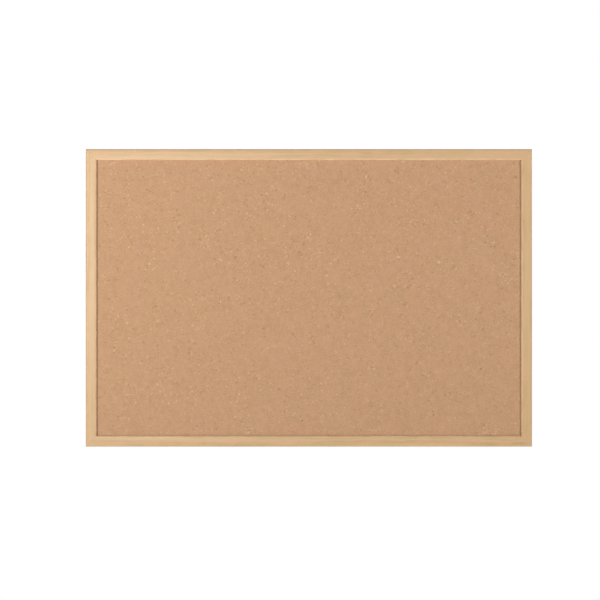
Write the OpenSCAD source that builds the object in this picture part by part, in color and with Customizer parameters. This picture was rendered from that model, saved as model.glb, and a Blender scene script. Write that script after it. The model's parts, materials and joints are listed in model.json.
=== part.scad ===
// Cork bulletin board in a mitred, oak-wrapped frame, hung by two ring hangers.
// X runs along the width, Y from the front (-Y) to the wall (+Y), and Z up.
// The origin is the centre of the whole board, halfway between its front and the wall.

/* [Board] */
// Width over the frame
board_w = 900; // [600:10:1800]
// Height over the frame
board_h = 600; // [450:10:1200]

/* [Frame rails] */
// Width of a rail's face
face_w = 22; // [18:0.5:40]
// How far the lip stands proud of the cork
lip_t = 4.5; // [3:0.5:8]
// How far the rebate reaches under the lip from the opening
rebate_w = 6; // [4:0.5:8]
// Radius of the outer front edge
outer_r = 3; // [1:0.5:4]
// Radius of the inner front edge
inner_r = 3; // [1:0.25:4]
// Thickness of the oak wrap round the core
wrap_t = 0.5; // [0.3:0.1:0.8]
// How far the panel points sit in from the rails' backs
back_recess = 1; // [0.5:0.5:6]

/* [Panel] */
// Thickness of the cork sheet
cork_t = 2; // [1:0.5:5]
// Thickness of the softboard core
softboard_t = 6; // [4:0.5:12]
// Thickness of the hardboard back
hardboard_t = 2; // [1.5:0.5:4]
// Gap between the panel's edge and the rebate wall, all round
panel_gap = 1; // [0.5:0.25:2]

/* [Corner nails] */
// Length of each leg of a V-nail
nail_leg = 5; // [4:0.5:6]
// Thickness of a V-nail's steel
nail_t = 0.6; // [0.4:0.1:0.8]
// How deep a V-nail is driven
nail_depth = 10; // [6:0.5:12]

/* [Panel points] */
// Length of a point, from its tip in the rail to its end on the panel
point_l = 15; // [12:0.5:20]
// Width of a point
point_w = 6; // [4:0.5:10]
// Thickness of a point's steel
point_t = 0.5; // [0.3:0.1:0.8]
// How far a point is driven into the rail
point_bite = 5.5; // [3:0.5:7]
// Largest distance from one point to the next along a rail
point_pitch = 170; // [100:10:300]

/* [Ring hangers] */
// Distance from the top edge down to the rings' hinge line
hanger_drop = 80; // [50:5:140]
// Width of the folded strap
strap_w = 9.5; // [7:0.5:10]
// Thickness of the strap's steel
strap_t = 0.8; // [0.6:0.1:1]
// Length of the strap below the hinge line
strap_l = 24; // [24:0.5:36]
// Diameter of the ring's wire
wire_d = 2; // [1.5:0.1:2.4]
// Length of the ring's straight sides, up from the hinge line
ring_leg = 5; // [4.5:0.5:8]

/* [Hanger screws] */
// Diameter of the shank
screw_d = 2.9; // [2.2:0.1:3.5]
// Length under the head
screw_l = 12; // [8:0.5:14]
// Diameter of the head
head_d = 5.6; // [4.5:0.1:6.2]
// Height of the head
head_h = 1.8; // [1.2:0.1:2.4]

/* [Wall bumpers] */
// Diameter at the base
bumper_d = 11; // [8:0.5:14]
// Height off the rail
bumper_h = 5; // [4:0.5:8]
// Distance from a rail's end to the middle of its bumper
bumper_inset = 45; // [35:5:90]

/* [Hidden] */
$fn = 64;

// Clearances
nail_fit = 0.02;   // round a V-nail in its slot
point_fit = 0.02;  // round a panel point in its slot
pilot_fit = 0.03;  // round a screw in its pilot hole
strap_hole_fit = 0.25;  // round a screw in the strap's holes
hinge_fit = 0.08;  // round the ring's wire in the strap's barrel
ring_side_fit = 1; // from the strap's edge to the ring's straight side
rest_fit = 0.15;   // from a resting ring to the rail it leans on
head_gap = 0.2;    // from the upper screw's head to the strap's neck
overcut = 1;       // how far a cutting shape runs past the face it opens

// Depths along Y. The rails' backs and the wall are behind the panel.
panel_t = cork_t + softboard_t + hardboard_t;
rail_d = lip_t + panel_t + point_t + back_recess;
front_y = -(rail_d + bumper_h) / 2;
cork_y = front_y + lip_t;
softboard_y = cork_y + cork_t;
hardboard_y = softboard_y + softboard_t;
point_y = hardboard_y + hardboard_t;
back_y = front_y + rail_d;

// Widths across a rail, from its outer edge
land_w = face_w - rebate_w;          // flat back of the rail, outside the rebate
panel_inset = land_w + panel_gap;    // outer edge of the frame to the panel's edge

// Where the panel points stand along a rail, clear of the hangers and the corners
point_end = hanger_drop + strap_l + 26;
function point_count(length) = ceil((length - 2 * point_end) / point_pitch) + 1;
function point_places(length) =
    let (n = point_count(length), span = length - 2 * point_end)
    [for (i = [0 : n - 1]) -span / 2 + i * span / (n - 1)];

// Where the V-nails stand along a mitre, as shares of its length on the back
nail_places = [0.25, 0.55];
nail_angle = 50;    // from the mitre to each leg
mitre_l = land_w * sqrt(2);

// Ring hanger. Its frame has the hinge line on X, and Y out from the rail's back.
barrel_bore_r = wire_d / 2 + hinge_fit;
barrel_r = barrel_bore_r + strap_t;
ring_bend_r = 0.9 * wire_d;
ring_half = strap_w / 2 + ring_side_fit + wire_d / 2;
ring_rise = ring_leg + ring_half;
ring_lean = asin((barrel_r - wire_d / 2 - rest_fit) / ring_rise);
hanger_inset = max(land_w / 2, ring_half + wire_d / 2);
neck_l = 4;          // from the hinge line down to the strap's flat plate
screw_end = 6.5;     // from the lower screw to the strap's end
screw_places = [-(neck_l + head_gap + head_d / 2), -(strap_l - screw_end)];
pilot_end = 0.5;     // left free under a screw's tip
pilot_l = screw_l - 2 * strap_t + pilot_end;
recess_w = 0.75;     // cross recess in a screw's head
recess_l = 3.4;
recess_d = 1.1;
tip_l = 3.5;         // pointed end of a screw
tip_d = 0.4;
dome_h = 0.7;        // how far a head's rim is below its crown

// The four sides, clockwise from the top: turn about Y, half the board across it, and length
SIDES = [
    [0, board_h / 2, board_w],
    [90, board_w / 2, board_h],
    [180, board_h / 2, board_w],
    [270, board_w / 2, board_h]
];
TOP = 0; RIGHT = 1; BOTTOM = 2; LEFT = 3;

oak = [0.88, 0.74, 0.56];
mdf = [0.66, 0.52, 0.37];
cork = [0.78, 0.61, 0.47];
softboard = [0.58, 0.45, 0.32];
hardboard = [0.42, 0.28, 0.17];
bright_steel = [0.72, 0.72, 0.70];
zinc = [0.80, 0.80, 0.78];
rubber = [0.16, 0.16, 0.17];

// Puts a child drawn along the top edge, with that edge on the X axis, at one of the sides
module at_side(side) {
    rotate([0, SIDES[side][0], 0]) translate([0, 0, SIDES[side][1]]) children();
}

// Puts a child drawn with +X inwards along a mitre at a corner, with x and z as -1 or 1
module at_corner(x, z) {
    translate([x * board_w / 2, back_y, z * board_h / 2])
        rotate([0, x > 0 ? (z > 0 ? 135 : 225) : (z > 0 ? 45 : -45), 0]) children();
}

// Puts a child at the left hanger or the right one, on the back of that side's rail
module at_hanger(x) {
    translate([x * (board_w / 2 - hanger_inset), back_y, board_h / 2 - hanger_drop])
        children();
}

// Section of a rail's front, as depth and height, with the outer edge at height 0.
// inset moves its front and both its sides inwards.
module lip_section(inset) {
    outer = outer_r - inset;
    inner = inner_r - inset;
    front = front_y + inset;
    translate([front + outer, -face_w + inset + inner])
        square([rail_d - inset - outer, face_w - 2 * inset - outer - inner]);
    translate([front + outer, -inset - outer]) square([rail_d - inset - outer, outer]);
    translate([front + inner, -face_w + inset]) square([rail_d - inset - inner, inner]);
    translate([front, -face_w + inset + inner])
        square([max(outer, inner), face_w - 2 * inset - outer - inner]);
    translate([front + outer, -inset - outer]) circle(outer);
    translate([front + inner, -face_w + inset + inner]) circle(inner);
}

module rebate_section() {
    translate([cork_y, -face_w - overcut]) square([rail_d, rebate_w + overcut]);
}

module core_section() {
    difference() {
        lip_section(wrap_t);
        rebate_section();
    }
}

module wrap_section() {
    difference() {
        lip_section(0);
        lip_section(wrap_t);
        rebate_section();
    }
}

// Draws a section along X and cuts both ends to 45 degrees
module mitred(length) {
    intersection() {
        rotate([90, 0, 90]) linear_extrude(length, center = true) children();
        translate([0, back_y + overcut, 0]) rotate([90, 0, 0])
            linear_extrude(rail_d + 2 * overcut)
                polygon([
                    [-length / 2, 0], [length / 2, 0],
                    [length / 2 - face_w, -face_w], [-length / 2 + face_w, -face_w]
                ]);
    }
}

// A V-nail from above, with its bend at the origin and its legs towards +X
module nail_section(grow = 0) {
    for (turn = [-nail_angle, nail_angle])
        rotate(turn) translate([-nail_t / 2 - grow, -nail_t / 2 - grow])
            square([nail_leg + 2 * grow, nail_t + 2 * grow]);
}

// Both V-nails of one corner, or their slots when grown
module corner_nails(x, z, grow = 0) {
    at_corner(x, z) for (place = nail_places)
        translate([place * mitre_l, grow > 0 ? overcut : 0, 0]) rotate([90, 0, 0])
            linear_extrude(nail_depth + (grow > 0 ? overcut + grow : 0)) nail_section(grow);
}

module nail_slots() {
    for (x = [-1, 1], z = [-1, 1]) corner_nails(x, z, nail_fit);
}

// One panel point, its tip in the rail and its flat on the hardboard, for the top rail
module panel_point() {
    translate([0, point_y + point_t, -land_w + point_bite]) rotate([90, 0, 0])
        linear_extrude(point_t) polygon([
            [0, 0], [point_w / 2, -point_w / 2], [point_w / 2, -point_l],
            [-point_w / 2, -point_l], [-point_w / 2, -point_w / 2]
        ]);
}

module point_slots(side) {
    for (x = point_places(SIDES[side][2]))
        translate([x - point_w / 2 - point_fit, point_y - point_fit, -face_w])
            cube([
                point_w + 2 * point_fit, point_t + 2 * point_fit,
                rebate_w + point_bite + point_fit
            ]);
}

module panel_points(side) {
    color(zinc) at_side(side) for (x = point_places(SIDES[side][2]))
        translate([x, 0, 0]) panel_point();
}

module pilot_holes(x) {
    at_hanger(x) for (z = screw_places)
        translate([0, overcut, z]) rotate([90, 0, 0])
            cylinder(r = screw_d / 2 + pilot_fit, h = pilot_l + overcut);
}

module rail(side) {
    color(mdf) difference() {
        at_side(side) difference() {
            mitred(SIDES[side][2]) core_section();
            point_slots(side);
        }
        nail_slots();
        if (side == RIGHT) pilot_holes(1);
        if (side == LEFT) pilot_holes(-1);
    }
}

module oak_wrap(side) {
    color(oak) at_side(side) mitred(SIDES[side][2]) wrap_section();
}

// One layer of the panel, from depth y towards the back
module layer(y, thickness) {
    translate([-board_w / 2 + panel_inset, y, -board_h / 2 + panel_inset])
        cube([board_w - 2 * panel_inset, thickness, board_h - 2 * panel_inset]);
}

module cork_sheet() {
    color(cork) layer(cork_y, cork_t);
}

module softboard_core() {
    color(softboard) layer(softboard_y, softboard_t);
}

module hardboard_back() {
    color(hardboard) layer(hardboard_y, hardboard_t);
}

// The strap from its side, as height off the rail and height along it. The strip is folded
// round the ring's wire, and its outer line leaves the barrel on a tangent to the plate.
module strap_section() {
    plate = 2 * strap_t;
    reach = norm([plate - barrel_r, neck_l]);
    turn = acos(barrel_r / reach) + atan2(-neck_l, plate - barrel_r);
    outer_tangent = [barrel_r + barrel_r * cos(turn), barrel_r * sin(turn)];
    inner_tangent = [barrel_r + barrel_bore_r * cos(turn), barrel_bore_r * sin(turn)];
    slope = (outer_tangent[1] + neck_l) / (outer_tangent[0] - plate);
    fold_z = inner_tangent[1] - (inner_tangent[0] - strap_t) * slope;
    difference() {
        union() {
            translate([0, -strap_l]) square([plate, strap_l - neck_l]);
            polygon([[0, -neck_l], [plate, -neck_l], outer_tangent, [barrel_r, 0], [0, 0]]);
            translate([barrel_r, 0]) circle(barrel_r);
        }
        translate([barrel_r, 0]) circle(barrel_bore_r);
        polygon([[barrel_r, 0], [strap_t, 0], [strap_t, fold_z], inner_tangent]);
    }
}

module hanger_strap(x) {
    color(bright_steel) at_hanger(x) difference() {
        intersection() {
            rotate([90, 0, 90]) linear_extrude(strap_w, center = true) strap_section();
            translate([0, 3 * barrel_r, 0]) rotate([90, 0, 0])
                linear_extrude(4 * barrel_r) {
                    translate([-strap_w / 2, -strap_l + strap_w / 2])
                        square([strap_w, strap_l]);
                    translate([0, -strap_l + strap_w / 2]) circle(d = strap_w);
                }
        }
        for (z = screw_places)
            translate([0, 2 * strap_t + overcut, z]) rotate([90, 0, 0])
                cylinder(r = screw_d / 2 + strap_hole_fit, h = 2 * strap_t + 2 * overcut);
    }
}

// A pan-head wood screw with a cross recess, its head's underside at the origin, pointing to -Y
module hanger_screw() {
    dome_r = (pow(head_d / 2, 2) + pow(dome_h, 2)) / (2 * dome_h);
    difference() {
        intersection() {
            rotate([-90, 0, 0]) cylinder(d = head_d, h = head_h);
            translate([0, head_h - dome_r, 0]) sphere(dome_r);
        }
        for (turn = [0, 90])
            rotate([0, turn, 0]) translate([-recess_l / 2, head_h - recess_d, -recess_w / 2])
                cube([recess_l, recess_d + overcut, recess_w]);
    }
    rotate([90, 0, 0]) cylinder(d = screw_d, h = screw_l - tip_l);
    translate([0, tip_l - screw_l, 0]) rotate([90, 0, 0])
        cylinder(d1 = screw_d, d2 = tip_d, h = tip_l);
}

module hanger_screws(x) {
    color(zinc) at_hanger(x) for (z = screw_places)
        translate([0, 2 * strap_t, z]) hanger_screw();
}

// The D-shaped ring, standing up from the hinge line and leaning on the rail
module hanger_ring(x) {
    color(bright_steel) at_hanger(x) translate([0, barrel_r, 0]) rotate([ring_lean, 0, 0]) {
        rotate([0, 90, 0])
            cylinder(d = wire_d, h = 2 * (ring_half - ring_bend_r), center = true);
        for (side = [-1, 1]) {
            translate([side * ring_half, 0, ring_bend_r])
                cylinder(d = wire_d, h = ring_leg - ring_bend_r);
            translate([side * (ring_half - ring_bend_r), 0, ring_bend_r])
                rotate([90, side > 0 ? 90 : 180, 0])
                    rotate_extrude(angle = 90) translate([ring_bend_r, 0]) circle(d = wire_d);
        }
        translate([0, 0, ring_leg]) rotate([90, 0, 0])
            rotate_extrude(angle = 180) translate([ring_half, 0]) circle(d = wire_d);
    }
}

// A tapered rubber bumper with a rounded rim, stuck to the back of the top or bottom rail
module bumper(x, z) {
    rim_r = 0.8;
    taper = 0.5;
    color(rubber)
        translate([x * (board_w / 2 - bumper_inset), back_y, z * (board_h / 2 - land_w / 2)])
            rotate([-90, 0, 0]) {
                cylinder(d1 = bumper_d, d2 = bumper_d - 2 * taper, h = bumper_h - rim_r);
                translate([0, 0, bumper_h - rim_r]) rotate_extrude() {
                    square([bumper_d / 2 - taper - rim_r, rim_r]);
                    intersection() {
                        translate([bumper_d / 2 - taper - rim_r, 0]) circle(rim_r);
                        square([bumper_d / 2, rim_r]);
                    }
                }
            }
}

rail(TOP);  // top_rail
rail(RIGHT);  // right_rail
rail(BOTTOM);  // bottom_rail
rail(LEFT);  // left_rail
oak_wrap(TOP);  // top_oak_wrap
oak_wrap(RIGHT);  // right_oak_wrap
oak_wrap(BOTTOM);  // bottom_oak_wrap
oak_wrap(LEFT);  // left_oak_wrap
cork_sheet();
softboard_core();
hardboard_back();
color(zinc) corner_nails(1, 1);  // corner_nails_top_right
color(zinc) corner_nails(1, -1);  // corner_nails_bottom_right
color(zinc) corner_nails(-1, -1);  // corner_nails_bottom_left
color(zinc) corner_nails(-1, 1);  // corner_nails_top_left
panel_points(TOP);  // panel_points_top
panel_points(RIGHT);  // panel_points_right
panel_points(BOTTOM);  // panel_points_bottom
panel_points(LEFT);  // panel_points_left
hanger_strap(1);  // right_hanger_strap
hanger_strap(-1);  // left_hanger_strap
hanger_screws(1);  // right_hanger_screws
hanger_screws(-1);  // left_hanger_screws
hanger_ring(1);  // right_hanger_ring
hanger_ring(-1);  // left_hanger_ring
bumper(1, 1);  // bumper_top_right
bumper(1, -1);  // bumper_bottom_right
bumper(-1, -1);  // bumper_bottom_left
bumper(-1, 1);  // bumper_top_left
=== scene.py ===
"""Cork bulletin board: the looks of the packed board, its hangers and its studio stage.

X runs along the width, Y from the cork (-Y) to the wall (+Y), and Z up. Lengths are in metres.
"""

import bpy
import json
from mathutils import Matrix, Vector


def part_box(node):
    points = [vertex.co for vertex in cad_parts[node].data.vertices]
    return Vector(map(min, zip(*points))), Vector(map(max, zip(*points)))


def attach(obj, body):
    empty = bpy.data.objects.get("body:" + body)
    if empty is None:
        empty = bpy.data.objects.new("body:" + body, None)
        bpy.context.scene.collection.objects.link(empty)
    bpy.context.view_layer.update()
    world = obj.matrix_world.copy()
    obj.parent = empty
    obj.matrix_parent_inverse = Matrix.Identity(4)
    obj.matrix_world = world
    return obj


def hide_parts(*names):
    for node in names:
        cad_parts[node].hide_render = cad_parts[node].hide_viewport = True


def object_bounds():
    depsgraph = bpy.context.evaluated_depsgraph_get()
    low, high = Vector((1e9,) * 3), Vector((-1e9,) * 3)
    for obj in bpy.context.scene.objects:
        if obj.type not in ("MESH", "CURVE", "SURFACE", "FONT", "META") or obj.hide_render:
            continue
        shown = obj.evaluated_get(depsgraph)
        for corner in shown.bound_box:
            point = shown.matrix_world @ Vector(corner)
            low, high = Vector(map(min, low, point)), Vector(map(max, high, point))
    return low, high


bl_info = {
    "name": "Cork Bulletin Board",
    "version": (1, 0, 0),
    "blender": (4, 5, 0),
    "location": "View3D > Sidebar > Cork Board",
    "description": "Dresses a framed cork board in cork, oak wrap, fibreboard and steel",
    "category": "Object",
}

import json
import math

import bmesh
import bpy
from mathutils import Vector

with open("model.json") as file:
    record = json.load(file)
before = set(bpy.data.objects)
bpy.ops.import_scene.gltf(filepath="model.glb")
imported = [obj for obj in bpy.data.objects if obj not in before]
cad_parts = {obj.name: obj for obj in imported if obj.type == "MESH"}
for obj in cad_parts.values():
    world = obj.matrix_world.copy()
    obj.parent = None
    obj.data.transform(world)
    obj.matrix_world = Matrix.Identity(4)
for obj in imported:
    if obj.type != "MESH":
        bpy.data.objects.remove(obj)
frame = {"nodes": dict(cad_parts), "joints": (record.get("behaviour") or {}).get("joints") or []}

MM = 0.001
BOARD = "board"
CAD_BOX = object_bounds()

# Each side's name, and its turn about Y from the top side
SIDES = {"top": 0.0, "right": 90.0, "bottom": 180.0, "left": 270.0}
CORNERS = ("top_right", "bottom_right", "bottom_left", "top_left")
HANGER_SIDES = ("right", "left")

# Points nearer than this are one, and edges sharper than this are drawn sharp
WELD = 0.002 * MM
SMOOTH_ANGLE = math.radians(32)
# Faces that meet at less than this angle are one flat face
FLAT_ANGLE = math.radians(0.3)

COAT_ROUGHNESS = 0.28
WHITE = (1.0, 1.0, 1.0)
# The two sizes of fleck in the cork, and a shift that keeps their patterns apart
FLECKS = ((4.2 * MM, 0.31), (2.8 * MM, 0.83))
# Redder stretches of the cork
RUDDY_CORK = (0.462, 0.262, 0.158)
# The hairs in pressed fibre: how much paler or darker, a shift, and how strong
HAIRS = ((1.75, 0.37, 0.55), (0.50, 0.71, 0.65), (1.40, 0.13, 0.50))
DUST = (0.16, 0.15, 0.14)
FLOOR_CLOUD = (0.80, 0.80, 0.80)
# How far from the sight edge the painted highlight is at full strength, and where it ends, as
# shares of the inner radius
EDGE_HIGHLIGHT_SHARES = (0.60, 0.96)
# Share of a panel point's length at which its free end starts to bend up
BEND_START = 0.62


# -------- settings


def length_setting(name, description, default, **limits):
    """A length that a user may change."""
    return bpy.props.FloatProperty(
        name=name, description=description, default=default, unit="LENGTH", **limits)


def color_setting(name, description, default):
    """A colour that a user may change."""
    return bpy.props.FloatVectorProperty(
        name=name, description=description, default=default, size=3, subtype="COLOR")


def power_setting(name, description, default):
    """A light's power that a user may change."""
    return bpy.props.FloatProperty(
        name=name, description=description, default=default, unit="POWER")


class CorkSettings(bpy.types.PropertyGroup):
    """The cork sheet's relief and colours."""

    pitch: length_setting(
        "Mesh pitch", "Distance between the sheet's mesh points", 2.45 * MM, min=2.0 * MM)
    relief: length_setting(
        "Relief", "Depth of the sanded sheet's gentle unevenness", 0.06 * MM)
    pit_depth: length_setting(
        "Pit depth", "Depth of a hole left by a lost granule", 0.22 * MM)
    pit_share: bpy.props.FloatProperty(
        name="Pit share", description="Share of the granules that left a hole",
        default=0.035, min=0.0, max=1.0, subtype="FACTOR")
    granule: length_setting(
        "Granule size", "Usual width of a pressed cork granule", 1.8 * MM)
    light: color_setting(
        "Light granules", "Colour of the palest cork", (0.500, 0.319, 0.189))
    middle: color_setting(
        "Middling granules", "Colour of most of the cork", (0.445, 0.263, 0.146))
    dark: color_setting(
        "Dark granules", "Colour of the darkest common granules", (0.300, 0.159, 0.080))
    bark: color_setting(
        "Bark flecks", "Colour of the sparse flecks of bark", (0.250, 0.125, 0.060))
    pale: color_setting(
        "Pale flecks", "Colour of the sparse pale flecks", (0.640, 0.450, 0.290))
    seed: bpy.props.IntProperty(
        name="Seed", description="Moves the pattern of granules", default=7)


class OakSettings(bpy.types.PropertyGroup):
    """The printed oak wrap on the frame's moulding."""

    outer_radius: length_setting(
        "Outer radius", "Rounding of the moulding's outer front edge", 3.0 * MM)
    inner_radius: length_setting(
        "Inner radius", "Rounding of the moulding's inner front edge", 3.0 * MM)
    thickness: length_setting(
        "Wrap thickness", "Thickness of the wrap round the core", 0.5 * MM)
    mitre_ease: length_setting(
        "Mitre easing", "Width of the worn edge on each side of a mitre", 0.12 * MM)
    light: color_setting(
        "Light grain", "Colour of the oak print between its grain lines", (0.556, 0.374, 0.200))
    dark: color_setting(
        "Dark grain", "Colour of the oak print's grain lines", (0.468, 0.300, 0.152))
    # A pale tone for the painted highlight along the inner edge
    edge_highlight: color_setting(
        "Painted edge highlight", "Colour of the highlight painted along the inner edge",
        (0.800, 0.610, 0.400))
    blush: color_setting(
        "Blush", "Colour of the pinker stretches of the oak print", (0.565, 0.360, 0.205))
    pore: color_setting(
        "Pores", "Colour of the oak print's pores", (0.330, 0.200, 0.105))


class BackSettings(bpy.types.PropertyGroup):
    """The fibreboards: the moulding's core, the softboard and the hardboard."""

    core: color_setting(
        "Moulding core", "Colour of the raw fibreboard moulding", (0.400, 0.262, 0.150))
    softboard: color_setting(
        "Softboard", "Colour of the softboard behind the cork", (0.300, 0.200, 0.115))
    hardboard: color_setting(
        "Hardboard", "Colour of the hardboard's smooth face", (0.185, 0.098, 0.048))
    eased_edge: length_setting(
        "Eased edge", "Rounding of the sawn boards' edges", 0.3 * MM)


class MetalSettings(bpy.types.PropertyGroup):
    """The hangers, screws, points and nails."""

    nickel: color_setting(
        "Nickel plate", "Colour of the straps and rings", (0.660, 0.640, 0.600))
    zinc: color_setting(
        "Zinc plate", "Colour of the screws and panel points", (0.600, 0.610, 0.620))
    bare: color_setting(
        "Bare steel", "Colour of the V-nails", (0.420, 0.410, 0.400))
    edge: length_setting(
        "Edge rounding", "Rounding of the pressed steel's edges", 0.10 * MM)
    bend_radius: length_setting(
        "Ring bend", "Radius of the ring wire's two lower bends", 1.8 * MM)
    point_lift: length_setting(
        "Point lift", "How far a panel point's free end is bent up", 0.9 * MM)


class BumperSettings(bpy.types.PropertyGroup):
    """The rubber wall bumpers."""

    rubber: color_setting(
        "Rubber", "Colour of the bumpers", (0.030, 0.030, 0.032))


class StageSettings(bpy.types.PropertyGroup):
    """The camera, the lights, the backdrop and the floor."""

    camera_distance: length_setting(
        "Camera distance", "From the frame's front to the camera", 3.6)
    view_width: length_setting(
        "View width", "Width that the camera sees at the frame's front", 1.209)
    shift_x: bpy.props.FloatProperty(
        name="Sideways shift", description="Camera shift that sets the board right of the middle",
        default=-0.0148)
    shift_y: bpy.props.FloatProperty(
        name="Upward shift", description="Camera shift that sets the board above the middle",
        default=-0.0035)
    left_power: power_setting(
        "Left light", "Power of the strip light on the left", 101.0)
    right_power: power_setting(
        "Right light", "Power of the strip light on the right", 152.0)
    front_power: power_setting(
        "Front light", "Power of the soft light beside the camera", 15.5)
    back_power: power_setting(
        "Back lights", "Power of each soft light behind the board", 12.0)
    room: bpy.props.FloatProperty(
        name="Room light", description="Brightness of the even light in front of the board",
        default=0.06, min=0.0)
    backdrop: bpy.props.FloatProperty(
        name="Backdrop light", description="Brightness of the white backdrop behind the board",
        default=0.90, min=0.0)
    floor_drop: length_setting(
        "Floor drop", "From the board's lower edge down to the floor", 0.80)
    floor_radius: length_setting(
        "Floor radius", "Radius of the round studio floor", 2.7)
    floor: color_setting(
        "Floor", "Colour of the studio floor", (0.90, 0.90, 0.90))


# -------- node trees


class Tree:
    """Adds nodes to one node tree and joins them."""

    def __init__(self, tree):
        self.tree = tree

    def feed(self, socket, value):
        """Links a socket to a value's output, or sets its number."""
        if isinstance(value, bpy.types.NodeSocket):
            self.tree.links.new(value, socket)
        elif value is not None:
            socket.default_value = value

    def add(self, kind, inputs=None, **settings):
        """A new node. inputs maps a socket's name or number to a number or another output."""
        new = self.tree.nodes.new(kind)
        for name, value in settings.items():
            setattr(new, name, value)
        for key, value in (inputs or {}).items():
            self.feed(new.inputs[key], value)
        return new

    def math(self, operation, a, b=None, c=None, clamp=False):
        """The result of one sum."""
        values = {i: v for i, v in enumerate((a, b, c)) if v is not None}
        new = self.add("ShaderNodeMath", values, operation=operation, use_clamp=clamp)
        return new.outputs[0]

    def vector(self, x=0.0, y=0.0, z=0.0):
        """A vector from three numbers."""
        return self.add("ShaderNodeCombineXYZ", {0: x, 1: y, 2: z}).outputs[0]

    def parts(self, vector):
        """A vector's three numbers."""
        return self.add("ShaderNodeSeparateXYZ", {0: vector}).outputs

    def scaled(self, vector, x, y, z):
        """A vector with each number multiplied."""
        new = self.add("ShaderNodeVectorMath", {0: vector, 1: (x, y, z)}, operation="MULTIPLY")
        return new.outputs[0]

    def plus(self, a, b):
        """The sum of two vectors."""
        return self.add("ShaderNodeVectorMath", {0: a, 1: b}, operation="ADD").outputs[0]

    def spread(self, value, low, high, to_low=0.0, to_high=1.0, smooth=False):
        """A number moved from one range to another, held inside it."""
        new = self.add(
            "ShaderNodeMapRange", {0: value, 1: low, 2: high, 3: to_low, 4: to_high},
            interpolation_type="SMOOTHSTEP" if smooth else "LINEAR", clamp=True)
        return new.outputs[0]

    def mix(self, factor, a, b):
        """Two colours blended."""
        a = a if isinstance(a, bpy.types.NodeSocket) else rgba(a)
        b = b if isinstance(b, bpy.types.NodeSocket) else rgba(b)
        return self.add("ShaderNodeMix", {0: factor, 6: a, 7: b}, data_type="RGBA").outputs[2]

    def noise(self, vector, scale, detail=2.0, roughness=0.5, distortion=0.0):
        """A noise texture's value."""
        new = self.add("ShaderNodeTexNoise", {
            "Vector": vector, "Scale": scale, "Detail": detail, "Roughness": roughness,
            "Distortion": distortion})
        return new.outputs[0]

    def cells(self, vector, scale, feature="F1"):
        """A Voronoi texture's node."""
        return self.add(
            "ShaderNodeTexVoronoi", {"Vector": vector, "Scale": scale}, feature=feature)


class Shader(Tree):
    """A material's node tree, which ends in one Principled shader."""

    def __init__(self, name, metallic=0.0, specular=0.5, coat=0.0):
        self.material = bpy.data.materials.new(name)
        self.material.use_nodes = True
        super().__init__(self.material.node_tree)
        self.tree.nodes.clear()
        self.surface = self.add("ShaderNodeBsdfPrincipled", {
            "Metallic": metallic, "Specular IOR Level": specular, "Coat Weight": coat,
            "Coat Roughness": COAT_ROUGHNESS})
        self.add("ShaderNodeOutputMaterial", {"Surface": self.surface.outputs[0]})

    def place(self):
        """The point's place on the object, in metres."""
        return self.add("ShaderNodeTexCoord").outputs["Object"]

    def attribute(self, name):
        """A named attribute's node."""
        return self.add("ShaderNodeAttribute", attribute_name=name)

    def finish(self, color, roughness, height, depth):
        """Joins the colour, the roughness and a bump of the given depth to the surface."""
        bump = self.add("ShaderNodeBump", {"Height": height, "Distance": depth, "Strength": 1.0})
        self.feed(self.surface.inputs["Base Color"], color)
        self.feed(self.surface.inputs["Roughness"], roughness)
        self.feed(self.surface.inputs["Normal"], bump.outputs[0])
        return self.material


class Shape(Tree):
    """A geometry tree with named inputs, whose result is real mesh with one material."""

    def __init__(self, name, floats=(), vectors=(), whole=(), takes_points=False):
        group = bpy.data.node_groups.new(name, "GeometryNodeTree")
        super().__init__(group)
        if takes_points:
            group.interface.new_socket("Points", in_out="INPUT", socket_type="NodeSocketGeometry")
        kinds = [(floats, "NodeSocketFloat"), (vectors, "NodeSocketVector"),
                 (whole, "NodeSocketInt"), (("Material",), "NodeSocketMaterial")]
        for names, kind in kinds:
            for item in names:
                group.interface.new_socket(item, in_out="INPUT", socket_type=kind)
        group.interface.new_socket("Mesh", in_out="OUTPUT", socket_type="NodeSocketGeometry")
        self.inputs = self.add("NodeGroupInput").outputs
        self.end = self.add("NodeGroupOutput")

    def position(self):
        """Each point's place."""
        return self.add("GeometryNodeInputPosition").outputs[0]

    def moved(self, geometry, translation=None, rotation=None):
        """Geometry moved and turned."""
        return self.add("GeometryNodeTransform", {
            "Geometry": geometry, "Translation": translation,
            "Rotation": rotation}).outputs[0]

    def placed(self, geometry, position, selection=None):
        """Geometry with its points put at a position."""
        return self.add("GeometryNodeSetPosition", {
            "Geometry": geometry, "Position": position, "Selection": selection}).outputs[0]

    def kept(self, geometry, name, value, kind="FLOAT"):
        """Geometry with a value kept on its points by name."""
        return self.add("GeometryNodeStoreNamedAttribute", {
            "Geometry": geometry, "Name": name, "Value": value}, data_type=kind).outputs[0]

    def named(self, name, kind="FLOAT"):
        """A value kept by name."""
        return self.add("GeometryNodeInputNamedAttribute", {"Name": name},
                        data_type=kind).outputs[0]

    def joined(self, *geometries):
        """Several geometries as one, with their shared points welded."""
        join = self.add("GeometryNodeJoinGeometry")
        for geometry in geometries:
            self.feed(join.inputs[0], geometry)
        return self.welded(join.outputs[0])

    def welded(self, geometry):
        """Geometry with coinciding points made one."""
        return self.add("GeometryNodeMergeByDistance", {
            "Geometry": geometry, "Distance": WELD}).outputs[0]

    def turned_over(self, geometry):
        """Geometry with its faces looking the other way."""
        return self.add("GeometryNodeFlipFaces", {0: geometry}).outputs[0]

    def deliver(self, geometry):
        """Ends the tree and returns it."""
        real = self.add("GeometryNodeRealizeInstances", {0: geometry}).outputs[0]
        dressed = self.add("GeometryNodeSetMaterial", {
            "Geometry": real, "Material": self.inputs["Material"]}).outputs[0]
        self.feed(self.end.inputs[0], dressed)
        return self.tree


def toned(color, factor):
    """A colour made lighter or darker."""
    return [min(part * factor, 1.0) for part in color]


def rgba(color):
    """A colour with full opacity."""
    return (*color[:3], 1.0)


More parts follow.
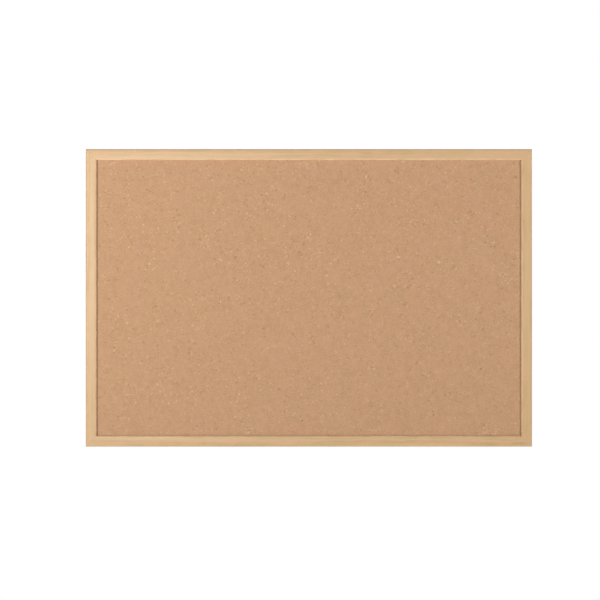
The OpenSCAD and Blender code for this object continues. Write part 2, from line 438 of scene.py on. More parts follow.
def new_object(name, data):
    """A new object in the scene."""
    item = bpy.data.objects.new(name, data)
    bpy.context.scene.collection.objects.link(item)
    return item


def smoothed(mesh):
    """Shades a mesh smooth, apart from its sharp edges."""
    mesh.shade_smooth()
    mesh.set_sharp_from_angle(angle=SMOOTH_ANGLE)


def grow(name, tree, sizes, points=()):
    """Runs a geometry tree once, on the given points, and returns a plain mesh object."""
    start = bpy.data.meshes.new(name)
    start.from_pydata(list(points), [], [])
    piece = new_object(name, start)
    modifier = piece.modifiers.new("Shape", "NODES")
    modifier.node_group = tree
    for item in tree.interface.items_tree:
        if item.in_out == "INPUT" and item.name in sizes:
            modifier[item.identifier] = sizes[item.name]
    depsgraph = bpy.context.evaluated_depsgraph_get()
    mesh = bpy.data.meshes.new_from_object(piece.evaluated_get(depsgraph))
    mesh.name = name
    piece.modifiers.clear()
    piece.data = mesh
    smoothed(mesh)
    return piece


def eased(piece, width, segments=2):
    """Rounds a piece's sharp edges with a bevel."""
    bevel = piece.modifiers.new("Eased edges", "BEVEL")
    bevel.width = width
    bevel.segments = segments
    bevel.limit_method = "ANGLE"
    bevel.angle_limit = SMOOTH_ANGLE
    bevel.harden_normals = True
    bevel.use_clamp_overlap = True
    return piece


def copied(name, node, material):
    """A welded copy of a CAD node, with its flat faces whole again."""
    source = frame["nodes"][node].data
    mesh = bpy.data.meshes.new(name)
    mesh.from_pydata([v.co for v in source.vertices], [], [p.vertices for p in source.polygons])
    work = bmesh.new()
    work.from_mesh(mesh)
    bmesh.ops.remove_doubles(work, verts=work.verts, dist=WELD)
    bmesh.ops.dissolve_limit(
        work, angle_limit=FLAT_ANGLE, verts=work.verts, edges=work.edges)
    work.to_mesh(mesh)
    work.free()
    smoothed(mesh)
    mesh.materials.append(material)
    return new_object(name, mesh)


def coat(node, material):
    """Gives a CAD node its material."""
    mesh = frame["nodes"][node].data
    mesh.materials.clear()
    mesh.materials.append(material)


def islands(node):
    """The boxes of a CAD node's separate solids, as lowest and highest corners."""
    work = bmesh.new()
    work.from_mesh(frame["nodes"][node].data)
    bmesh.ops.remove_doubles(work, verts=work.verts, dist=WELD)
    left = set(work.verts)
    boxes = []
    while left:
        stack = [left.pop()]
        found = []
        while stack:
            vert = stack.pop()
            found.append(vert.co.copy())
            for edge in vert.link_edges:
                other = edge.other_vert(vert)
                if other in left:
                    left.remove(other)
                    stack.append(other)
        low = Vector(min(co[i] for co in found) for i in range(3))
        high = Vector(max(co[i] for co in found) for i in range(3))
        boxes.append((low, high))
    work.free()
    return sorted(boxes, key=lambda box: tuple(box[0]))


def settle(piece, body, node):
    """Hangs a finished piece on the body it rides on, and hides the CAD node it stands for."""
    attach(piece, body)
    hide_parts(node)


# -------- materials


def make_cork_material(cork):
    """Pressed cork: granules in three browns, dark and pale flecks, thin seams and painted shade
    in pits.
    """
    s = Shader("pressed_cork", specular=0.25)
    grain = cork.granule
    place = s.plus(s.place(), (cork.seed * 0.137, 0.0, cork.seed * 0.071))
    drift = s.add("ShaderNodeTexNoise", {
        "Vector": place, "Scale": 0.55 / grain, "Detail": 2.0}).outputs["Color"]
    bent = s.plus(place, s.scaled(drift, 0.75 * grain, 0.75 * grain, 0.75 * grain))
    granule = s.cells(bent, 1 / grain)
    seam = s.cells(bent, 1 / grain, feature="DISTANCE_TO_EDGE").outputs["Distance"]
    crumb = s.cells(bent, 2.6 / grain)
    chance = s.parts(granule.outputs["Color"])
    crumb_chance = s.parts(crumb.outputs["Color"])
    blend = s.math("MULTIPLY", chance[0], 0.62)
    blend = s.math("MULTIPLY_ADD", crumb_chance[0], 0.38, blend)
    color = s.mix(s.spread(blend, 0.50, 0.15, 0.0, 0.30), cork.middle, cork.dark)
    color = s.mix(s.spread(blend, 0.45, 0.85, 0.0, 0.60), color, cork.light)
    # Flecks of bark and of pale grain, which come in clusters
    cluster = s.noise(s.plus(place, (0.4, 0.0, 0.9)), 52.0, detail=2.0)
    share = s.spread(cluster, 0.45, 0.70, 0.008, 0.085)
    for size, shift in FLECKS:
        spot = s.plus(bent, (shift, 0.0, -shift))
        fleck = s.cells(spot, 1 / size)
        rim = s.cells(spot, 1 / size, feature="DISTANCE_TO_EDGE").outputs["Distance"]
        luck = s.parts(fleck.outputs["Color"])
        strength = s.spread(luck[0], 0.0, 1.0, 0.06, 0.56)
        body = s.math("MULTIPLY", s.spread(rim, 0.0, 0.12), strength)
        bark = s.math("GREATER_THAN", s.math("ADD", luck[1], share), 1.0)
        pale = s.math("LESS_THAN", s.math("SUBTRACT", luck[1], share), 0.0)
        color = s.mix(s.math("MULTIPLY", bark, body), color, cork.bark)
        color = s.mix(s.math("MULTIPLY", pale, body), color, cork.pale)
    # Seams between granules, and painted shade in the pits that the mesh carries
    line = s.spread(seam, 0.0, 0.09, 1.0, 0.0)
    color = s.mix(s.math("MULTIPLY", line, 0.22), color, cork.dark)
    pit = s.attribute("pit").outputs["Fac"]
    color = s.mix(s.math("MULTIPLY", pit, 0.45), color, cork.dark)
    # Broad, faint clouds of redder and of darker cork over the whole sheet
    cloud = s.noise(place, 24.0, detail=2.0)
    color = s.mix(s.spread(cloud, 0.35, 0.65, 0.0, 0.4), color, RUDDY_CORK)
    patch = s.noise(place, 95.0, detail=2.0)
    color = s.mix(s.spread(patch, 0.42, 0.70, 0.0, 0.16), color, cork.dark)
    roughness = s.spread(blend, 0.0, 1.0, 0.94, 0.82)
    grit = s.noise(place, 3.2 / grain, detail=3.0, roughness=0.6)
    height = s.math("MULTIPLY_ADD", line, -0.55, s.math("MULTIPLY", chance[2], 0.45))
    height = s.math("MULTIPLY_ADD", grit, 0.35, height)
    return s.finish(color, roughness, height, 0.08 * MM)


def make_oak_material(oak):
    """Printed oak: wandering grain lines, short pores, a painted edge highlight and a satin
    lacquer.
    """
    s = Shader("oak_wrap", specular=0.5, coat=0.25)
    grain = s.attribute("grain").outputs["Vector"]
    wander = s.noise(s.scaled(grain, 7.0, 55.0, 1.0), 1.0, detail=2.0)
    across = s.parts(grain)
    shifted = s.math("MULTIPLY_ADD", wander, 16 * MM, across[1])
    rings = s.vector(s.math("MULTIPLY", across[0], 2.2), s.math("MULTIPLY", shifted, 260.0),
                     across[2])
    growth = s.noise(rings, 1.0, detail=3.0, roughness=0.55)
    growth = s.spread(growth, 0.32, 0.68)
    fibre = s.noise(s.scaled(grain, 60.0, 2600.0, 1.0), 1.0, detail=2.0)
    dash = s.noise(s.scaled(grain, 150.0, 2600.0, 1.0), 1.0, detail=1.0)
    pore = s.spread(dash, 0.58, 0.66)
    pore = s.math("MULTIPLY", pore, s.spread(growth, 0.30, 0.75, 0.15, 1.0))
    color = s.mix(growth, oak.light, oak.dark)
    color = s.mix(s.spread(fibre, 0.3, 0.7, 0.0, 0.20), color, oak.dark)
    color = s.mix(s.math("MULTIPLY", pore, 0.45), color, oak.pore)
    broad = s.noise(s.scaled(grain, 5.0, 20.0, 1.0), 1.0, detail=1.0)
    color = s.mix(s.spread(broad, 0.35, 0.7, 0.0, 0.35), color, oak.light)
    blush = s.noise(s.scaled(grain, 24.0, 60.0, 1.0), 1.0, detail=1.0)
    color = s.mix(s.spread(blush, 0.40, 0.62, 0.0, 0.55), color, oak.blush)
    # Painted highlight: a pale tone along the inner sight edge
    painted_shine = s.spread(s.noise(s.scaled(grain, 35.0, 8.0, 1.0), 1.0), 0.38, 0.62, 0.10, 0.40)
    painted_shine = s.math("MULTIPLY", painted_shine, s.attribute("sight_edge").outputs["Fac"])
    color = s.mix(painted_shine, color, oak.edge_highlight)
    roughness = s.spread(growth, 0.0, 1.0, 0.32, 0.38)
    roughness = s.math("MULTIPLY_ADD", pore, 0.12, roughness)
    height = s.math("MULTIPLY_ADD", pore, -0.8, s.math("MULTIPLY", fibre, 0.3))
    return s.finish(color, roughness, height, 0.03 * MM)


def make_fibre_material(name, color, hairs, roughness, depth, size):
    """Pressed wood fibre: a fine mottle, broad clouds and a felt of pale and dark hairs."""
    s = Shader(name, specular=0.3)
    place = s.place()
    mottle = s.noise(place, 1 / size, detail=5.0, roughness=0.7)
    shade = s.mix(s.spread(mottle, 0.34, 0.66), toned(color, 0.84), toned(color, 1.16))
    broad = s.noise(place, 9.0, detail=6.0, roughness=0.62)
    shade = s.mix(s.spread(broad, 0.36, 0.64, 0.0, 0.55), shade, toned(color, 0.78))
    felt = mottle
    for tone, shift, strength in HAIRS:
        spot = s.plus(place, (shift, -shift, 2 * shift))
        path = s.noise(spot, 0.45 / size, detail=1.5, distortion=0.7)
        ridge = s.math("ABSOLUTE", s.math("SUBTRACT", path, 0.5))
        short = s.spread(s.noise(spot, 0.75 / size, detail=1.0), 0.50, 0.56)
        hair = s.math("MULTIPLY", s.spread(ridge, 0.0, 0.014, strength * hairs, 0.0), short)
        shade = s.mix(hair, shade, toned(color, tone))
        felt = s.math("MULTIPLY_ADD", hair, 0.4, felt)
    finish = s.spread(mottle, 0.3, 0.7, roughness + 0.06, roughness - 0.06)
    return s.finish(shade, finish, felt, depth)


def make_steel_material(name, color, roughness, mottle):
    """Plated or bare steel: fine tumbling marks, cloudy plating and a few dull spots."""
    s = Shader(name, metallic=1.0)
    place = s.place()
    cloud = s.noise(place, 420.0, detail=4.0, roughness=0.6)
    spots = s.noise(place, 1500.0, detail=2.0)
    shade = s.mix(s.spread(cloud, 0.35, 0.65, 0.0, mottle), color, toned(color, 0.70))
    shade = s.mix(s.spread(spots, 0.66, 0.74, 0.0, 0.35), shade, toned(color, 0.55))
    scratches = s.noise(s.scaled(place, 9000.0, 900.0, 900.0), 1.0, detail=1.0)
    finish = s.spread(cloud, 0.3, 0.7, roughness - 0.05, roughness + 0.10)
    height = s.math("MULTIPLY_ADD", scratches, 0.4, cloud)
    return s.finish(shade, finish, height, 0.012 * MM)


def make_rubber_material(bumpers):
    """Moulded black rubber with a fine grain and a little dust."""
    s = Shader("bumper_rubber", specular=0.35)
    place = s.place()
    grain = s.noise(place, 5200.0, detail=3.0, roughness=0.6)
    dust = s.noise(place, 700.0, detail=4.0, roughness=0.7)
    shade = s.mix(s.spread(dust, 0.48, 0.72, 0.0, 0.28), bumpers.rubber, DUST)
    finish = s.spread(grain, 0.3, 0.7, 0.62, 0.80)
    return s.finish(shade, finish, grain, 0.03 * MM)


def make_floor_material(stage):
    """A pale studio floor with a barely seen cloudiness, which thins out towards its rim."""
    s = Shader("studio_floor", specular=0.2)
    cloud = s.noise(s.place(), 1.5, detail=2.0)
    shade = s.mix(s.spread(cloud, 0.3, 0.7, 0.0, 0.02), stage.floor, FLOOR_CLOUD)
    level = s.scaled(s.place(), 1.0, 1.0, 0.0)
    reach = s.add("ShaderNodeVectorMath", {0: level}, operation="LENGTH").outputs["Value"]
    rim = s.spread(reach, 0.5 * stage.floor_radius, stage.floor_radius, 1.0, 0.0, smooth=True)
    s.feed(s.surface.inputs["Alpha"], rim)
    return s.finish(shade, s.spread(cloud, 0.3, 0.7, 0.75, 0.80), cloud, 0.2 * MM)


# -------- shapes


def make_cork_shape():
    """A thin closed sheet with a gently uneven, pitted front, made lying down and stood up."""
    g = Shape("cork_sheet_shape",
              floats=("Width", "Height", "Thickness", "Pitch", "Relief", "Pit depth",
                      "Pit share", "Granule"),
              vectors=("Front centre",), whole=("Seed",))
    width, height, thickness, pitch = (
        g.inputs[n] for n in ("Width", "Height", "Thickness", "Pitch"))
    columns = g.math("CEIL", g.math("DIVIDE", width, pitch))
    rows = g.math("CEIL", g.math("DIVIDE", height, pitch))
    sheet = g.add("GeometryNodeMeshGrid", {
        "Size X": width, "Size Y": height, "Vertices X": g.math("ADD", columns, 1.0),
        "Vertices Y": g.math("ADD", rows, 1.0)}).outputs["Mesh"]
    place = g.position()
    seeded = g.plus(place, g.vector(g.inputs["Seed"], 0.0, 0.0))
    wave = g.noise(seeded, 70.0, detail=4.0, roughness=0.6)
    spacing = g.math("DIVIDE", 0.36, g.inputs["Granule"])
    holes = g.cells(seeded, spacing)
    chance = g.parts(holes.outputs["Color"])[0]
    lost = g.math("LESS_THAN", chance, g.inputs["Pit share"])
    bowl = g.spread(holes.outputs["Distance"], 0.12, 0.46, 1.0, 0.0, smooth=True)
    pit = g.math("MULTIPLY", lost, bowl)
    sheet = g.kept(sheet, "pit", pit)
    drop = g.math("MULTIPLY", g.spread(wave, 0.25, 0.75), g.inputs["Relief"])
    drop = g.math("MULTIPLY_ADD", g.named("pit"), g.inputs["Pit depth"], drop)
    across = g.parts(place)
    sheet = g.placed(sheet, g.vector(across[0], across[1], g.math("MULTIPLY", drop, -1.0)))
    # Walls down from the rim, and one face across the back
    faces = g.add("GeometryNodeInputMeshEdgeNeighbors").outputs[0]
    rim = g.add("FunctionNodeCompare", {"A": faces, "B": 1}, data_type="INT",
                operation="EQUAL").outputs[0]
    walls = g.add("GeometryNodeExtrudeMesh", {
        "Mesh": sheet, "Selection": rim, "Offset Scale": 0.0}, mode="EDGES")
    floor = g.vector(across[0], across[1], g.math("MULTIPLY", thickness, -1.0))
    sheet = g.placed(walls.outputs["Mesh"], floor, walls.outputs["Top"])
    outline = g.add("GeometryNodeMeshToCurve", {
        "Mesh": sheet, "Selection": walls.outputs["Top"]}).outputs[0]
    back = g.add("GeometryNodeFillCurve", {"Curve": outline}, mode="NGONS").outputs[0]
    back = g.turned_over(g.placed(back, floor))
    closed = g.joined(sheet, back)
    stood = g.moved(closed, rotation=(math.radians(90), 0.0, 0.0))
    return g.deliver(g.moved(stood, translation=g.inputs["Front centre"]))


def make_wrap_shape():
    """A rail's wrap: its section swept along X and mitred at both ends."""
    g = Shape("oak_wrap_shape",
              floats=("Length", "Face", "Depth", "Lip", "Thickness", "Outer radius",
                      "Inner radius", "Front", "Edge height", "Turn", "Grain start"),
              whole=("Stations", "Arc points"))
    face, depth, lip, wall, outer, inner = (
        g.inputs[n] for n in ("Face", "Depth", "Lip", "Thickness", "Outer radius",
                              "Inner radius"))
    length = g.inputs["Length"]
    inside = g.math("SUBTRACT", face, wall)
    # Corners of the section as depth behind the front, drop from the outer edge, and radius
    corners = [
        (depth, 0.0, 0.0),
        (0.0, 0.0, outer),
        (0.0, face, inner),
        (lip, face, 0.0),
        (lip, inside, 0.0),
        (wall, inside, g.math("SUBTRACT", inner, wall)),
        (wall, wall, g.math("SUBTRACT", outer, wall)),
        (depth, wall, 0.0),
    ]
    pick = g.add("GeometryNodeIndexSwitch", data_type="VECTOR")
    for _ in range(len(corners) - 2):
        pick.index_switch_items.new()
    g.feed(pick.inputs[0], g.add("GeometryNodeInputIndex").outputs[0])
    for number, corner in enumerate(corners):
        g.feed(pick.inputs[number + 1], g.vector(*corner))
    line = g.add("GeometryNodeMeshLine", {"Count": len(corners)}).outputs[0]
    line = g.kept(line, "corner", pick.outputs[0], kind="FLOAT_VECTOR")
    corner = g.parts(g.named("corner", "FLOAT_VECTOR"))
    line = g.placed(line, g.vector(corner[0], corner[1], 0.0))
    section = g.add("GeometryNodeMeshToCurve", {"Mesh": line}).outputs[0]
    section = g.add("GeometryNodeSetSplineCyclic", {0: section, "Cyclic": True}).outputs[0]
    section = g.add("GeometryNodeFilletCurve", {
        "Curve": section, "Radius": corner[2], "Count": g.inputs["Arc points"],
        "Limit Radius": True}, mode="POLY").outputs[0]
    place = g.position()
    around = g.add("GeometryNodeSplineParameter").outputs["Length"]
    section = g.kept(section, "section", place, kind="FLOAT_VECTOR")
    section = g.kept(section, "around", around)
    # How far a point of the section is from the sight edge, in depth and in drop together
    spot = g.parts(place)
    gap = g.math("ADD", spot[0], g.math("SUBTRACT", face, spot[1]))
    # A mask for the painted highlight along the sight edge
    full, none = (g.math("MULTIPLY", inner, share) for share in EDGE_HIGHLIGHT_SHARES)
    section = g.kept(section, "sight_edge", g.spread(gap, full, none, 1.0, 0.0))
    half = g.math("MULTIPLY", length, 0.5)
    path = g.add("GeometryNodeCurvePrimitiveLine", {
        "Start": g.vector(g.math("MULTIPLY", half, -1.0)), "End": g.vector(half)}).outputs[0]
    path = g.add("GeometryNodeResampleCurve", {
        "Curve": path, "Count": g.inputs["Stations"]}).outputs[0]
    rail = g.add("GeometryNodeCurveToMesh", {
        "Curve": path, "Profile Curve": section, "Fill Caps": True}).outputs[0]
    drawn = g.parts(g.named("section", "FLOAT_VECTOR"))
    taper = g.math("SUBTRACT", 1.0, g.math("DIVIDE", drawn[1], half))
    x = g.math("MULTIPLY", g.parts(place)[0], taper)
    y = g.math("ADD", drawn[0], g.inputs["Front"])
    z = g.math("SUBTRACT", g.inputs["Edge height"], drawn[1])
    rail = g.placed(rail, g.vector(x, y, z))
    grain = g.vector(g.parts(place)[0], g.named("around"), g.inputs["Grain start"])
    rail = g.kept(rail, "grain", grain, kind="FLOAT_VECTOR")
    return g.deliver(g.moved(g.welded(rail), rotation=g.vector(0.0, g.inputs["Turn"], 0.0)))


def make_ring_shape():
    """A D-shaped ring of round wire, standing on its hinge line and leaning back."""
    g = Shape("hanger_ring_shape",
              floats=("Half width", "Rise", "Wire radius", "Bend radius", "Lean"),
              vectors=("Hinge",), whole=("Bend points", "Wire points"))
    half, rise = g.inputs["Half width"], g.inputs["Rise"]
    outline = g.add("GeometryNodeCurvePrimitiveQuadrilateral", {
        "Width": g.math("MULTIPLY", half, 2.0), "Height": rise}).outputs[0]
    place = g.position()
    upper = g.math("GREATER_THAN", g.parts(place)[1], 0.0)
    radius = g.add("ShaderNodeMix", {
        0: upper, 2: g.inputs["Bend radius"], 3: half}, data_type="FLOAT").outputs[0]
    outline = g.add("GeometryNodeFilletCurve", {
        "Curve": outline, "Radius": radius, "Count": g.inputs["Bend points"],
        "Limit Radius": True}, mode="POLY").outputs[0]
    outline = g.moved(outline, translation=g.vector(0.0, g.math("MULTIPLY", rise, 0.5), 0.0))
    wire = g.add("GeometryNodeCurvePrimitiveCircle", {
        "Radius": g.inputs["Wire radius"], "Resolution": g.inputs["Wire points"]}).outputs[0]
    ring = g.add("GeometryNodeCurveToMesh", {"Curve": outline, "Profile Curve": wire}).outputs[0]
    upright = g.math("ADD", g.inputs["Lean"], math.radians(90))
    ring = g.moved(g.welded(ring), rotation=g.vector(upright, 0.0, 0.0))
    return g.deliver(g.moved(ring, translation=g.inputs["Hinge"]))


def make_point_shape():
    """A row of flat steel points with a sharp tip, their free ends bent up."""
    g = Shape("panel_point_shape", floats=("Width", "Length", "Thickness", "Lift", "Turn"),
              whole=("Steps",), takes_points=True)
    width, length = g.inputs["Width"], g.inputs["Length"]
    blank = g.add("GeometryNodeMeshGrid", {
        "Size X": width, "Size Y": length, "Vertices X": 5,
        "Vertices Y": g.inputs["Steps"]}).outputs["Mesh"]
    place = g.parts(g.position())
    from_tip = g.math("MULTIPLY_ADD", length, 0.5, place[1])
    reach = g.math("DIVIDE", from_tip, g.math("MULTIPLY", width, 0.5), clamp=True)
    along = g.math("DIVIDE", from_tip, length)
    lifted = g.math("MULTIPLY", g.spread(along, BEND_START, 1.0, smooth=True), g.inputs["Lift"])
    blank = g.welded(g.placed(blank, g.vector(
        g.math("MULTIPLY", place[0], reach), from_tip, lifted)))
    up = g.vector(0.0, 0.0, g.inputs["Thickness"])
    pressed = g.add("GeometryNodeExtrudeMesh", {
        "Mesh": blank, "Offset": up, "Offset Scale": 1.0, "Individual": False}, mode="FACES")
    point = g.joined(pressed.outputs["Mesh"], g.turned_over(blank))
    point = g.moved(point, rotation=(math.radians(-90), 0.0, 0.0))
    row = g.add("GeometryNodeInstanceOnPoints", {
        "Points": g.inputs["Points"], "Instance": point,
        "Rotation": g.vector(0.0, g.inputs["Turn"], 0.0)}).outputs[0]
    return g.deliver(row)


# -------- operators


class MakeCorkSheet(bpy.types.Operator):
    """Makes the cork sheet"""

    bl_idname = "cork_board.make_cork_sheet"
    bl_label = "Make Cork Sheet"

    def execute(self, context):
        cork = context.scene.cork_settings
        low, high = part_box("cork_sheet")
        piece = grow("cork_sheet_face", make_cork_shape(), {
            "Width": high.x - low.x, "Height": high.z - low.z, "Thickness": high.y - low.y,
            "Pitch": cork.pitch, "Relief": cork.relief, "Pit depth": cork.pit_depth,
            "Pit share": cork.pit_share, "Granule": cork.granule, "Seed": cork.seed,
            "Front centre": ((low.x + high.x) / 2, low.y, (low.z + high.z) / 2),
            "Material": make_cork_material(cork)})
        settle(piece, BOARD, "cork_sheet")
        return {"FINISHED"}


class MakeOakWraps(bpy.types.Operator):
    """Makes the oak wraps of the four rails"""

    bl_idname = "cork_board.make_oak_wraps"
    bl_label = "Make Oak Wraps"

    STATIONS = 19
    ARC_POINTS = 9
    GRAIN_STEP = 3.7  # from one rail's part of the grain pattern to the next one's

    def execute(self, context):
        oak = context.scene.oak_settings
        shape = make_wrap_shape()
        material = make_oak_material(oak)
        cork_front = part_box("cork_sheet")[0].y
        for number, (side, turn) in enumerate(SIDES.items()):
            node = side + "_oak_wrap"
            low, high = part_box(node)
            size = high - low
            upright = side in ("left", "right")
            edge = {"top": high.z, "bottom": -low.z, "right": high.x, "left": -low.x}[side]
            piece = grow(node + "_print", shape, {
                "Length": size.z if upright else size.x, "Face": min(size.x, size.z),
                "Depth": size.y, "Lip": cork_front - low.y, "Thickness": oak.thickness,
                "Outer radius": oak.outer_radius, "Inner radius": oak.inner_radius,
                "Front": low.y, "Edge height": edge, "Turn": math.radians(turn),
                "Grain start": self.GRAIN_STEP * number, "Stations": self.STATIONS,
                "Arc points": self.ARC_POINTS, "Material": material})
            eased(piece, oak.mitre_ease, segments=1)
            settle(piece, BOARD, node)
        return {"FINISHED"}


class FinishRails(bpy.types.Operator):
    """Gives the moulding's raw core its finish"""

    bl_idname = "cork_board.finish_rails"
    bl_label = "Finish Rail Cores"

    def execute(self, context):
        back = context.scene.back_settings
        material = make_fibre_material(
            "raw_fibreboard", back.core, hairs=0.4, roughness=0.80, depth=0.05 * MM,
            size=1.1 * MM)
        for side in SIDES:
            coat(side + "_rail", material)
        return {"FINISHED"}


class FinishPanel(bpy.types.Operator):
    """Makes the softboard core and the hardboard back"""

    bl_idname = "cork_board.finish_panel"
    bl_label = "Finish Panel"

    def execute(self, context):
        back = context.scene.back_settings
        soft = make_fibre_material(
            "softboard", back.softboard, hairs=1.0, roughness=0.88, depth=0.25 * MM,
            size=2.4 * MM)
        hard = make_fibre_material(
            "hardboard", back.hardboard, hairs=0.5, roughness=0.46, depth=0.04 * MM,
            size=1.8 * MM)
        for node, material in (("softboard_core", soft), ("hardboard_back", hard)):
            piece = eased(copied(node + "_board", node, material), back.eased_edge)
            settle(piece, BOARD, node)
        return {"FINISHED"}


class FinishCornerNails(bpy.types.Operator):
    """Gives the V-nails in the mitres their finish"""

    bl_idname = "cork_board.finish_corner_nails"
    bl_label = "Finish Corner Nails"

    def execute(self, context):
        metal = context.scene.metal_settings
        material = make_steel_material("v_nail_steel", metal.bare, 0.42, 0.5)
        for corner in CORNERS:
            coat("corner_nails_" + corner, material)
        return {"FINISHED"}


class MakePanelPoints(bpy.types.Operator):
    """Makes the rows of steel points that hold the panel"""

    bl_idname = "cork_board.make_panel_points"
    bl_label = "Make Panel Points"

    STEPS = 16

    def execute(self, context):
        metal = context.scene.metal_settings
        shape = make_point_shape()
        material = make_steel_material("panel_point_steel", metal.zinc, 0.38, 0.4)
        for side, turn in SIDES.items():
            node = "panel_points_" + side
            solids = islands(node)
            size = solids[0][1] - solids[0][0]
            piece = grow("steel_points_" + side, shape, {
                "Width": min(size.x, size.z), "Length": max(size.x, size.z),
                "Thickness": size.y, "Lift": metal.point_lift, "Turn": math.radians(turn),
                "Steps": self.STEPS, "Material": material},
                points=[self.tip(side, low, high) for low, high in solids])
            settle(piece, BOARD, node)
        return {"FINISHED"}

    @staticmethod
    def tip(side, low, high):
        """Where a point's tip is, on its face against the hardboard."""
        middle = (low + high) / 2
        x = {"right": high.x, "left": low.x}.get(side, middle.x)
        z = {"top": high.z, "bottom": low.z}.get(side, middle.z)
        return x, low.y, z


class MakeHangers(bpy.types.Operator):
    """Makes the hangers' folded straps and their screws"""

    bl_idname = "cork_board.make_hangers"
    bl_label = "Make Hanger Straps and Screws"

    def execute(self, context):
        metal = context.scene.metal_settings
        nickel = make_steel_material("nickel_plate", metal.nickel, 0.26, 0.25)
        zinc = make_steel_material("screw_zinc", metal.zinc, 0.34, 0.45)
        for side in HANGER_SIDES:
            strap = copied(side + "_strap_fold", side + "_hanger_strap", nickel)
            settle(eased(strap, metal.edge), BOARD, side + "_hanger_strap")
            screws = copied(side + "_pan_screws", side + "_hanger_screws", zinc)
            settle(eased(screws, metal.edge), BOARD, side + "_hanger_screws")
        return {"FINISHED"}


class MakeHangerRings(bpy.types.Operator):
    """Makes the two swinging hanger rings"""

    bl_idname = "cork_board.make_hanger_rings"
    bl_label = "Make Hanger Rings"

    BEND_POINTS = 18
    WIRE_POINTS = 24

    def execute(self, context):
        metal = context.scene.metal_settings
        shape = make_ring_shape()
        material = make_steel_material("ring_nickel", metal.nickel, 0.22, 0.2)
        for side in HANGER_SIDES:
            node = side + "_hanger_ring"
            low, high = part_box(node)
            joint = next(j for j in frame["joints"] if j["child"] == side + "_ring")
            hinge = Vector(joint["pos_m"])
            wire = hinge.z - low.z
            back = hinge.y - wire - low.y
            up = high.z - wire - hinge.z
            piece = grow(side + "_wire_ring", shape, {
                "Half width": (high.x - low.x) / 2 - wire, "Rise": math.hypot(back, up),
                "Wire radius": wire, "Bend radius": metal.bend_radius,
                "Lean": math.atan2(back, up), "Hinge": tuple(hinge),
                "Bend points": self.BEND_POINTS, "Wire points": self.WIRE_POINTS,
                "Material": material})
            settle(piece, side + "_ring", node)
        return {"FINISHED"}


class MakeBumpers(bpy.types.Operator):
    """Makes the rubber bumpers"""

    bl_idname = "cork_board.make_bumpers"
    bl_label = "Make Bumpers"

    def execute(self, context):
        material = make_rubber_material(context.scene.bumper_settings)
        for corner in CORNERS:
            node = "bumper_" + corner
            settle(copied("rubber_" + node, node, material), BOARD, node)
        return {"FINISHED"}


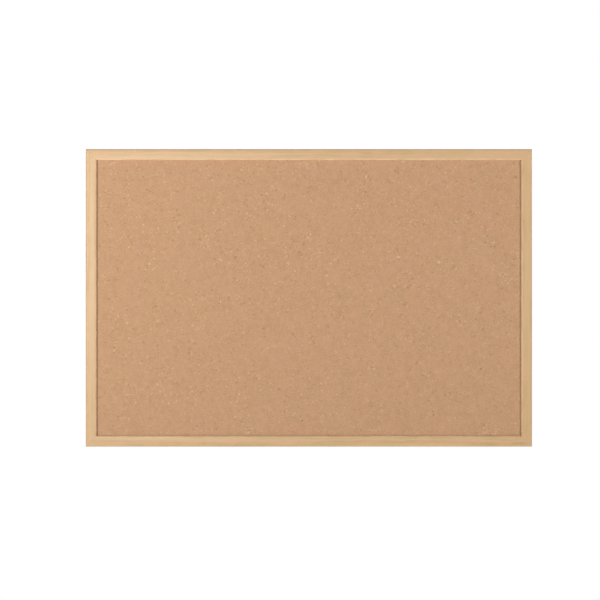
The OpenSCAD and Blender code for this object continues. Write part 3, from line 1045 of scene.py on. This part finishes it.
class SetStage(bpy.types.Operator):
    """Sets the camera, the lights, the floor and the background"""

    bl_idname = "cork_board.set_stage"
    bl_label = "Set Stage"

    SENSOR = 36.0
    # Each light's name, place, aim, size, power setting, and whether gloss mirrors it. The bare
    # strips aren't mirrored, because they would leave a glare on the lacquer.
    LIGHTS = (
        ("left_strip", (-2.15, -1.87, -0.14), (0.80, 0.0, 4.5), (0.22, 0.9), "left", False),
        ("right_strip", (3.01, -2.58, -0.14), (-0.26, 0.0, 4.5), (0.3, 0.9), "right", False),
        ("front_softbox", (-0.9, -3.3, 0.15), (0.0, 0.0, 0.0), (0.7, 0.7), "front", True),
        ("back_left_softbox", (-1.5, 1.9, 0.75), (0.0, 0.0, 0.0), (1.2, 1.2), "back", True),
        ("back_right_softbox", (1.5, 1.9, 0.75), (0.0, 0.0, 0.0), (1.2, 1.2), "back", True),
    )
    FLOOR_SIDES = 96
    # How far back a direction points where the room's light turns into the backdrop's
    BACKDROP_TURN = (-0.05, 0.35)
    # How far down a direction points where the white that the camera sees greys, and to what
    GREY_TURN = (-0.50, -0.19)
    GREY = 0.62

    def execute(self, context):
        stage = context.scene.stage_settings
        low = Vector(CAD_BOX[0])
        self.add_camera(context, stage, low)
        for name, place, aim, size, power, mirrored in self.LIGHTS:
            watts = getattr(stage, power + "_power")
            self.add_light(name, place, aim, size, watts, mirrored)
        self.add_floor(stage, low)
        self.add_background(context, stage)
        context.scene.view_settings.view_transform = "Standard"
        return {"FINISHED"}

    def add_camera(self, context, stage, low):
        """A long lens straight in front of the board."""
        data = bpy.data.cameras.new("camera")
        data.sensor_width = self.SENSOR
        data.lens = self.SENSOR * stage.camera_distance / stage.view_width
        data.shift_x = stage.shift_x
        data.shift_y = stage.shift_y
        data.clip_end = 50.0
        camera = new_object("camera", data)
        camera.location = (0.0, low.y - stage.camera_distance, 0.0)
        camera.rotation_euler = (math.radians(90), 0.0, 0.0)
        context.scene.camera = camera

    def add_light(self, name, place, aim, size, power, mirrored):
        """A soft rectangular light that looks at a point."""
        data = bpy.data.lights.new(name, "AREA")
        data.shape = "RECTANGLE"
        data.size, data.size_y = size
        data.energy = power
        lamp = new_object(name, data)
        lamp.location = place
        lamp.rotation_euler = (Vector(aim) - Vector(place)).to_track_quat("-Z", "Y").to_euler()
        lamp.visible_camera = False
        lamp.visible_glossy = mirrored

    def add_floor(self, stage, low):
        """A round, pale floor under the board."""
        work = bmesh.new()
        bmesh.ops.create_circle(
            work, cap_ends=True, radius=stage.floor_radius, segments=self.FLOOR_SIDES)
        bmesh.ops.translate(work, verts=work.verts, vec=(0.0, 0.0, low.z - stage.floor_drop))
        mesh = bpy.data.meshes.new("studio_floor")
        work.to_mesh(mesh)
        work.free()
        mesh.materials.append(make_floor_material(stage))
        new_object("studio_floor", mesh)

    def add_background(self, context, stage):
        """White for the camera, with a bright backdrop and a dim room to light the board."""
        world = bpy.data.worlds.new("studio")
        world.use_nodes = True
        t = Tree(world.node_tree)
        world.node_tree.nodes.clear()
        seen = t.add("ShaderNodeLightPath").outputs["Is Camera Ray"]
        ray = t.parts(t.add("ShaderNodeTexCoord").outputs["Generated"])
        glow = t.spread(ray[1], *self.BACKDROP_TURN, stage.room, stage.backdrop, smooth=True)
        level = t.spread(ray[2], *self.GREY_TURN, self.GREY, 1.0, smooth=True)
        lit = t.add("ShaderNodeBackground", {"Color": rgba(WHITE), "Strength": glow})
        white = t.add("ShaderNodeBackground", {"Color": rgba(WHITE), "Strength": level})
        both = t.add("ShaderNodeMixShader", {0: seen, 1: lit.outputs[0], 2: white.outputs[0]})
        t.add("ShaderNodeOutputWorld", {"Surface": both.outputs[0]})
        context.scene.world = world


# -------- panel and registration

OPERATORS = (
    SetStage, MakeCorkSheet, MakeOakWraps, FinishRails, FinishPanel, FinishCornerNails,
    MakePanelPoints, MakeHangers, MakeHangerRings, MakeBumpers,
)
SETTINGS = {
    "cork_settings": CorkSettings,
    "oak_settings": OakSettings,
    "back_settings": BackSettings,
    "metal_settings": MetalSettings,
    "bumper_settings": BumperSettings,
    "stage_settings": StageSettings,
}


class CorkBoardPanel(bpy.types.Panel):
    """Lists the board's pieces and their settings."""

    bl_idname = "VIEW3D_PT_cork_board"
    bl_label = "Cork Bulletin Board"
    bl_space_type = "VIEW_3D"
    bl_region_type = "UI"
    bl_category = "Cork Board"

    def draw(self, context):
        for operator in OPERATORS:
            self.layout.operator(operator.bl_idname)
        for name, group in SETTINGS.items():
            box = self.layout.box()
            box.label(text=group.__doc__)
            for item in group.__annotations__:
                box.prop(getattr(context.scene, name), item)


def register():
    """Registers the settings, the operators and the panel."""
    for name, group in SETTINGS.items():
        bpy.utils.register_class(group)
        setattr(bpy.types.Scene, name, bpy.props.PointerProperty(type=group))
    for operator in OPERATORS:
        bpy.utils.register_class(operator)
    bpy.utils.register_class(CorkBoardPanel)


def unregister():
    """Takes the panel, the operators and the settings away again."""
    bpy.utils.unregister_class(CorkBoardPanel)
    for operator in reversed(OPERATORS):
        bpy.utils.unregister_class(operator)
    for name, group in reversed(SETTINGS.items()):
        delattr(bpy.types.Scene, name)
        bpy.utils.unregister_class(group)


def main():
    """Dresses the whole board."""
    register()
    bpy.ops.cork_board.set_stage()
    bpy.ops.cork_board.make_cork_sheet()
    bpy.ops.cork_board.make_oak_wraps()
    bpy.ops.cork_board.finish_rails()
    bpy.ops.cork_board.finish_panel()
    bpy.ops.cork_board.finish_corner_nails()
    bpy.ops.cork_board.make_panel_points()
    bpy.ops.cork_board.make_hangers()
    bpy.ops.cork_board.make_hanger_rings()
    bpy.ops.cork_board.make_bumpers()


if __name__ == "__main__":
    main()
